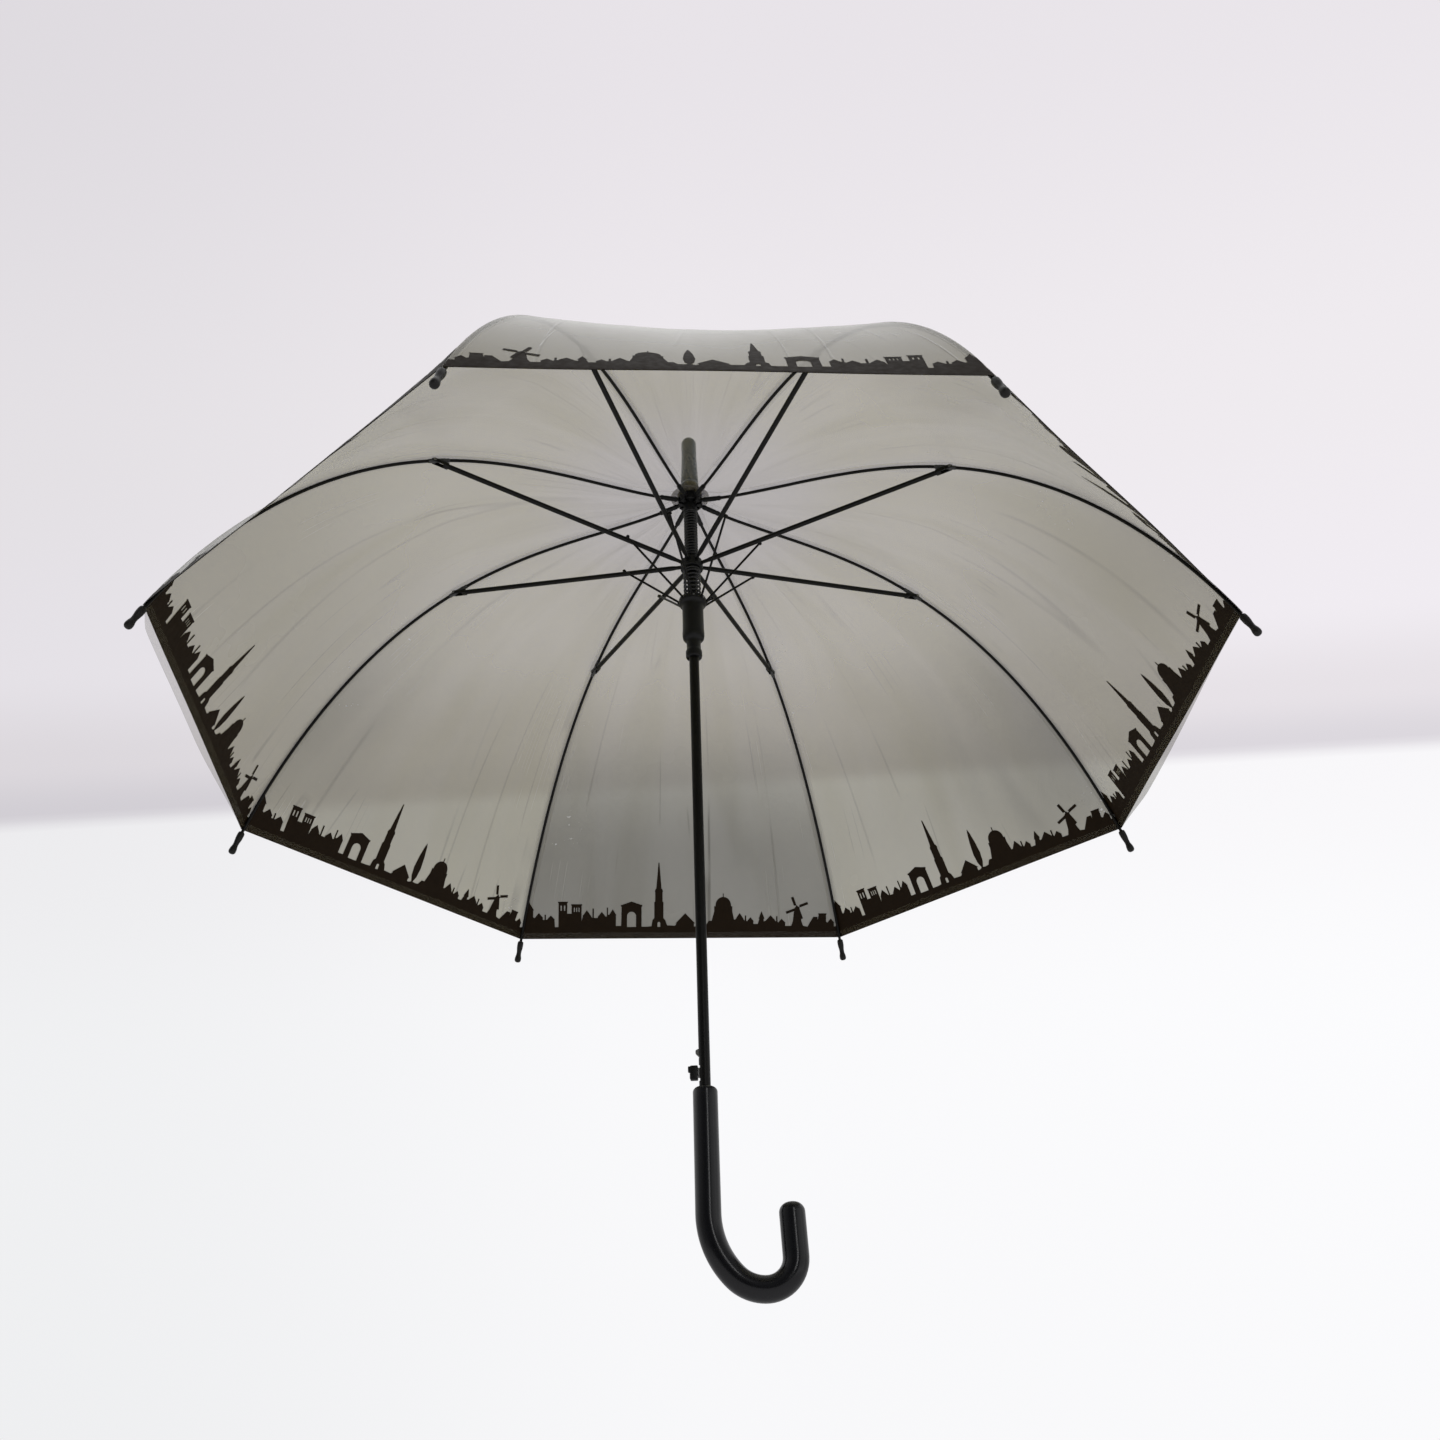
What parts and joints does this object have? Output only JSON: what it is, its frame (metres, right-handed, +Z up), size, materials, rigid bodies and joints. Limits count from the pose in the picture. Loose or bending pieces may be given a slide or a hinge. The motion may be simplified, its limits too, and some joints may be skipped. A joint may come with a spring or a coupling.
{
  "type": "dome umbrella",
  "caption": "Clear dome umbrella, open: deep film canopy on thin ribs with stretchers, pull links, a spring runner, a release button and a crook handle.",
  "frame": {"origin": "on the shaft axis at the middle of the straight grip, where the hand holds it", "axes": "+Z up the shaft towards the ferrule, +X towards the side that the crook opens to, -X towards the release button"},
  "size_m": [0.9462, 0.9462, 0.8623],
  "materials": {
    "black_steel": "satin",
    "ferrule_plastic": "gloss",
    "clear_washer": "gloss",
    "clear_film": "gloss",
    "black_plastic": "satin",
    "wire_steel": "satin",
    "spring_steel": "satin",
    "handle_plastic": "gloss",
    "rib_rod": "satin",
    "tip_plastic": "satin"
  },
  "bodies": {
    "handle_and_shaft": {"shaft_tube": "black_steel", "ferrule": "ferrule_plastic", "ferrule_collar": "ferrule_plastic", "crown_washer": "clear_washer", "canopy": "clear_film", "top_notch": "black_plastic", "notch_wire": "wire_steel", "notch_pin": "wire_steel", "buffer_spring": "spring_steel", "handle": "handle_plastic"},
    "middle_nest": {"middle_nest": "black_plastic", "nest_wire": "wire_steel", "opening_spring": "spring_steel"},
    "runner": {"runner": "black_plastic", "runner_pins": "wire_steel"},
    "catch_and_button": {"catch": "wire_steel", "release_button": "black_plastic"},
    "rib_1": {"rib_1": "rib_rod"},
    "rib_outer_1": {"rib_outer_1": "rib_rod", "rib_tip_1": "tip_plastic"},
    "stretcher_1": {"stretcher_1": "black_steel"},
    "link_1": {"link_1": "black_steel"},
    "rib_2": {"rib_2": "rib_rod"},
    "rib_outer_2": {"rib_outer_2": "rib_rod", "rib_tip_2": "tip_plastic"},
    "stretcher_2": {"stretcher_2": "black_steel"},
    "link_2": {"link_2": "black_steel"},
    "rib_3": {"rib_3": "rib_rod"},
    "rib_outer_3": {"rib_outer_3": "rib_rod", "rib_tip_3": "tip_plastic"},
    "stretcher_3": {"stretcher_3": "black_steel"},
    "link_3": {"link_3": "black_steel"},
    "rib_4": {"rib_4": "rib_rod"},
    "rib_outer_4": {"rib_outer_4": "rib_rod", "rib_tip_4": "tip_plastic"},
    "stretcher_4": {"stretcher_4": "black_steel"},
    "link_4": {"link_4": "black_steel"},
    "rib_5": {"rib_5": "rib_rod"},
    "rib_outer_5": {"rib_outer_5": "rib_rod", "rib_tip_5": "tip_plastic"},
    "stretcher_5": {"stretcher_5": "black_steel"},
    "link_5": {"link_5": "black_steel"},
    "rib_6": {"rib_6": "rib_rod"},
    "rib_outer_6": {"rib_outer_6": "rib_rod", "rib_tip_6": "tip_plastic"},
    "stretcher_6": {"stretcher_6": "black_steel"},
    "link_6": {"link_6": "black_steel"},
    "rib_7": {"rib_7": "rib_rod"},
    "rib_outer_7": {"rib_outer_7": "rib_rod", "rib_tip_7": "tip_plastic"},
    "stretcher_7": {"stretcher_7": "black_steel"},
    "link_7": {"link_7": "black_steel"},
    "rib_8": {"rib_8": "rib_rod"},
    "rib_outer_8": {"rib_outer_8": "rib_rod", "rib_tip_8": "tip_plastic"},
    "stretcher_8": {"stretcher_8": "black_steel"},
    "link_8": {"link_8": "black_steel"}
  },
  "joints": [
    {"name": "rib_1_fold", "type": "hinge", "parent": "handle_and_shaft", "child": "rib_1", "pos_m": [0.00418, -0.00797, 0.656], "axis": [0.8854, 0.4648, 0], "range_deg": [0, 70], "stiffness_Nm_per_rad": 0.6, "springref_deg": -171.89},
    {"name": "rib_1_flex", "type": "hinge", "parent": "rib_1", "child": "rib_outer_1", "pos_m": [0.1223, -0.23295, 0.61548], "axis": [0.8854, 0.4648, 0], "range_deg": [-23.94, 0]},
    {"name": "stretcher_1_swing", "type": "hinge", "parent": "rib_1", "child": "stretcher_1", "pos_m": [0.1223, -0.23295, 0.61548], "axis": [0.8854, 0.4648, 0], "range_deg": [-140, 0]},
    {"name": "rib_2_fold", "type": "hinge", "parent": "handle_and_shaft", "child": "rib_2", "pos_m": [0.00859, -0.00268, 0.656], "axis": [0.2974, 0.9548, 0], "range_deg": [0, 70]},
    {"name": "rib_2_flex", "type": "hinge", "parent": "rib_2", "child": "rib_outer_2", "pos_m": [0.2512, -0.07824, 0.61548], "axis": [0.2974, 0.9548, 0], "range_deg": [-23.94, 0]},
    {"name": "stretcher_2_swing", "type": "hinge", "parent": "rib_2", "child": "stretcher_2", "pos_m": [0.2512, -0.07824, 0.61548], "axis": [0.2974, 0.9548, 0], "range_deg": [-140, 0]},
    {"name": "rib_3_fold", "type": "hinge", "parent": "handle_and_shaft", "child": "rib_3", "pos_m": [0.00797, 0.00418, 0.656], "axis": [-0.4648, 0.8854, 0], "range_deg": [0, 70]},
    {"name": "rib_3_flex", "type": "hinge", "parent": "rib_3", "child": "rib_outer_3", "pos_m": [0.23295, 0.1223, 0.61548], "axis": [-0.4648, 0.8854, 0], "range_deg": [-23.94, 0]},
    {"name": "stretcher_3_swing", "type": "hinge", "parent": "rib_3", "child": "stretcher_3", "pos_m": [0.23295, 0.1223, 0.61548], "axis": [-0.4648, 0.8854, 0], "range_deg": [-140, 0]},
    {"name": "rib_4_fold", "type": "hinge", "parent": "handle_and_shaft", "child": "rib_4", "pos_m": [0.00268, 0.00859, 0.656], "axis": [-0.9548, 0.2974, 0], "range_deg": [0, 70]},
    {"name": "rib_4_flex", "type": "hinge", "parent": "rib_4", "child": "rib_outer_4", "pos_m": [0.07824, 0.2512, 0.61548], "axis": [-0.9548, 0.2974, 0], "range_deg": [-23.94, 0]},
    {"name": "stretcher_4_swing", "type": "hinge", "parent": "rib_4", "child": "stretcher_4", "pos_m": [0.07824, 0.2512, 0.61548], "axis": [-0.9548, 0.2974, 0], "range_deg": [-140, 0]},
    {"name": "rib_5_fold", "type": "hinge", "parent": "handle_and_shaft", "child": "rib_5", "pos_m": [-0.00418, 0.00797, 0.656], "axis": [-0.8854, -0.4648, 0], "range_deg": [0, 70]},
    {"name": "rib_5_flex", "type": "hinge", "parent": "rib_5", "child": "rib_outer_5", "pos_m": [-0.1223, 0.23295, 0.61548], "axis": [-0.8854, -0.4648, 0], "range_deg": [-23.94, 0]},
    {"name": "stretcher_5_swing", "type": "hinge", "parent": "rib_5", "child": "stretcher_5", "pos_m": [-0.1223, 0.23295, 0.61548], "axis": [-0.8854, -0.4648, 0], "range_deg": [-140, 0]},
    {"name": "rib_6_fold", "type": "hinge", "parent": "handle_and_shaft", "child": "rib_6", "pos_m": [-0.00859, 0.00268, 0.656], "axis": [-0.2974, -0.9548, 0], "range_deg": [0, 70]},
    {"name": "rib_6_flex", "type": "hinge", "parent": "rib_6", "child": "rib_outer_6", "pos_m": [-0.2512, 0.07824, 0.61548], "axis": [-0.2974, -0.9548, 0], "range_deg": [-23.94, 0]},
    {"name": "stretcher_6_swing", "type": "hinge", "parent": "rib_6", "child": "stretcher_6", "pos_m": [-0.2512, 0.07824, 0.61548], "axis": [-0.2974, -0.9548, 0], "range_deg": [-140, 0]},
    {"name": "rib_7_fold", "type": "hinge", "parent": "handle_and_shaft", "child": "rib_7", "pos_m": [-0.00797, -0.00418, 0.656], "axis": [0.4648, -0.8854, 0], "range_deg": [0, 70]},
    {"name": "rib_7_flex", "type": "hinge", "parent": "rib_7", "child": "rib_outer_7", "pos_m": [-0.23295, -0.1223, 0.61548], "axis": [0.4648, -0.8854, 0], "range_deg": [-23.94, 0]},
    {"name": "stretcher_7_swing", "type": "hinge", "parent": "rib_7", "child": "stretcher_7", "pos_m": [-0.23295, -0.1223, 0.61548], "axis": [0.4648, -0.8854, 0], "range_deg": [-140, 0]},
    {"name": "rib_8_fold", "type": "hinge", "parent": "handle_and_shaft", "child": "rib_8", "pos_m": [-0.00268, -0.00859, 0.656], "axis": [0.9548, -0.2974, 0], "range_deg": [0, 70]},
    {"name": "rib_8_flex", "type": "hinge", "parent": "rib_8", "child": "rib_outer_8", "pos_m": [-0.07824, -0.2512, 0.61548], "axis": [0.9548, -0.2974, 0], "range_deg": [-23.94, 0]},
    {"name": "stretcher_8_swing", "type": "hinge", "parent": "rib_8", "child": "stretcher_8", "pos_m": [-0.07824, -0.2512, 0.61548], "axis": [0.9548, -0.2974, 0], "range_deg": [-140, 0]},
    {"name": "middle_nest_travel", "type": "hinge", "parent": "stretcher_1", "child": "middle_nest", "pos_m": [0.00418, -0.00797, 0.57496], "axis": [0.8854, 0.4648, 0], "range_deg": [0, 70]},
    {"name": "runner_slide", "type": "slide", "parent": "middle_nest", "child": "runner", "axis": [0, 0, 1], "range_m": [0, 0.02655], "deforming": ["opening_spring"]},
    {"name": "link_1_swing", "type": "hinge", "parent": "runner", "child": "link_1", "pos_m": [0.00558, -0.01062, 0.52926], "axis": [0.8854, 0.4648, 0], "range_deg": [-39.97, 0]},
    {"name": "link_2_swing", "type": "hinge", "parent": "runner", "child": "link_2", "pos_m": [0.01146, -0.00357, 0.52926], "axis": [0.2974, 0.9548, 0], "range_deg": [-39.97, 0]},
    {"name": "link_3_swing", "type": "hinge", "parent": "runner", "child": "link_3", "pos_m": [0.01062, 0.00558, 0.52926], "axis": [-0.4648, 0.8854, 0], "range_deg": [-39.97, 0]},
    {"name": "link_4_swing", "type": "hinge", "parent": "runner", "child": "link_4", "pos_m": [0.00357, 0.01146, 0.52926], "axis": [-0.9548, 0.2974, 0], "range_deg": [-39.97, 0]},
    {"name": "link_5_swing", "type": "hinge", "parent": "runner", "child": "link_5", "pos_m": [-0.00558, 0.01062, 0.52926], "axis": [-0.8854, -0.4648, 0], "range_deg": [-39.97, 0]},
    {"name": "link_6_swing", "type": "hinge", "parent": "runner", "child": "link_6", "pos_m": [-0.01146, 0.00357, 0.52926], "axis": [-0.2974, -0.9548, 0], "range_deg": [-39.97, 0]},
    {"name": "link_7_swing", "type": "hinge", "parent": "runner", "child": "link_7", "pos_m": [-0.01062, -0.00558, 0.52926], "axis": [0.4648, -0.8854, 0], "range_deg": [-39.97, 0]},
    {"name": "link_8_swing", "type": "hinge", "parent": "runner", "child": "link_8", "pos_m": [-0.00357, -0.01146, 0.52926], "axis": [0.9548, -0.2974, 0], "range_deg": [-39.97, 0]},
    {"name": "button_press", "type": "slide", "parent": "handle_and_shaft", "child": "catch_and_button", "axis": [1, 0, 0], "range_m": [0, 0.002], "stiffness_N_per_m": 900, "springref_m": -0.0015}
  ],
  "couplings": [
    {"joint": "rib_1_flex", "follows": "rib_1_fold", "ratio": -0.342},
    {"joint": "stretcher_1_swing", "follows": "rib_1_fold", "ratio": -2},
    {"joint": "rib_2_fold", "follows": "rib_1_fold", "ratio": 1},
    {"joint": "rib_2_flex", "follows": "rib_1_fold", "ratio": -0.342},
    {"joint": "stretcher_2_swing", "follows": "rib_1_fold", "ratio": -2},
    {"joint": "rib_3_fold", "follows": "rib_1_fold", "ratio": 1},
    {"joint": "rib_3_flex", "follows": "rib_1_fold", "ratio": -0.342},
    {"joint": "stretcher_3_swing", "follows": "rib_1_fold", "ratio": -2},
    {"joint": "rib_4_fold", "follows": "rib_1_fold", "ratio": 1},
    {"joint": "rib_4_flex", "follows": "rib_1_fold", "ratio": -0.342},
    {"joint": "stretcher_4_swing", "follows": "rib_1_fold", "ratio": -2},
    {"joint": "rib_5_fold", "follows": "rib_1_fold", "ratio": 1},
    {"joint": "rib_5_flex", "follows": "rib_1_fold", "ratio": -0.342},
    {"joint": "stretcher_5_swing", "follows": "rib_1_fold", "ratio": -2},
    {"joint": "rib_6_fold", "follows": "rib_1_fold", "ratio": 1},
    {"joint": "rib_6_flex", "follows": "rib_1_fold", "ratio": -0.342},
    {"joint": "stretcher_6_swing", "follows": "rib_1_fold", "ratio": -2},
    {"joint": "rib_7_fold", "follows": "rib_1_fold", "ratio": 1},
    {"joint": "rib_7_flex", "follows": "rib_1_fold", "ratio": -0.342},
    {"joint": "stretcher_7_swing", "follows": "rib_1_fold", "ratio": -2},
    {"joint": "rib_8_fold", "follows": "rib_1_fold", "ratio": 1},
    {"joint": "rib_8_flex", "follows": "rib_1_fold", "ratio": -0.342},
    {"joint": "stretcher_8_swing", "follows": "rib_1_fold", "ratio": -2},
    {"joint": "middle_nest_travel", "follows": "rib_1_fold", "ratio": 1},
    {"joint": "runner_slide", "follows": "rib_1_fold", "m_per_rad": 0.02173},
    {"joint": "link_1_swing", "follows": "rib_1_fold", "ratio": -0.57099},
    {"joint": "link_2_swing", "follows": "rib_1_fold", "ratio": -0.57099},
    {"joint": "link_3_swing", "follows": "rib_1_fold", "ratio": -0.57099},
    {"joint": "link_4_swing", "follows": "rib_1_fold", "ratio": -0.57099},
    {"joint": "link_5_swing", "follows": "rib_1_fold", "ratio": -0.57099},
    {"joint": "link_6_swing", "follows": "rib_1_fold", "ratio": -0.57099},
    {"joint": "link_7_swing", "follows": "rib_1_fold", "ratio": -0.57099},
    {"joint": "link_8_swing", "follows": "rib_1_fold", "ratio": -0.57099}
  ]
}
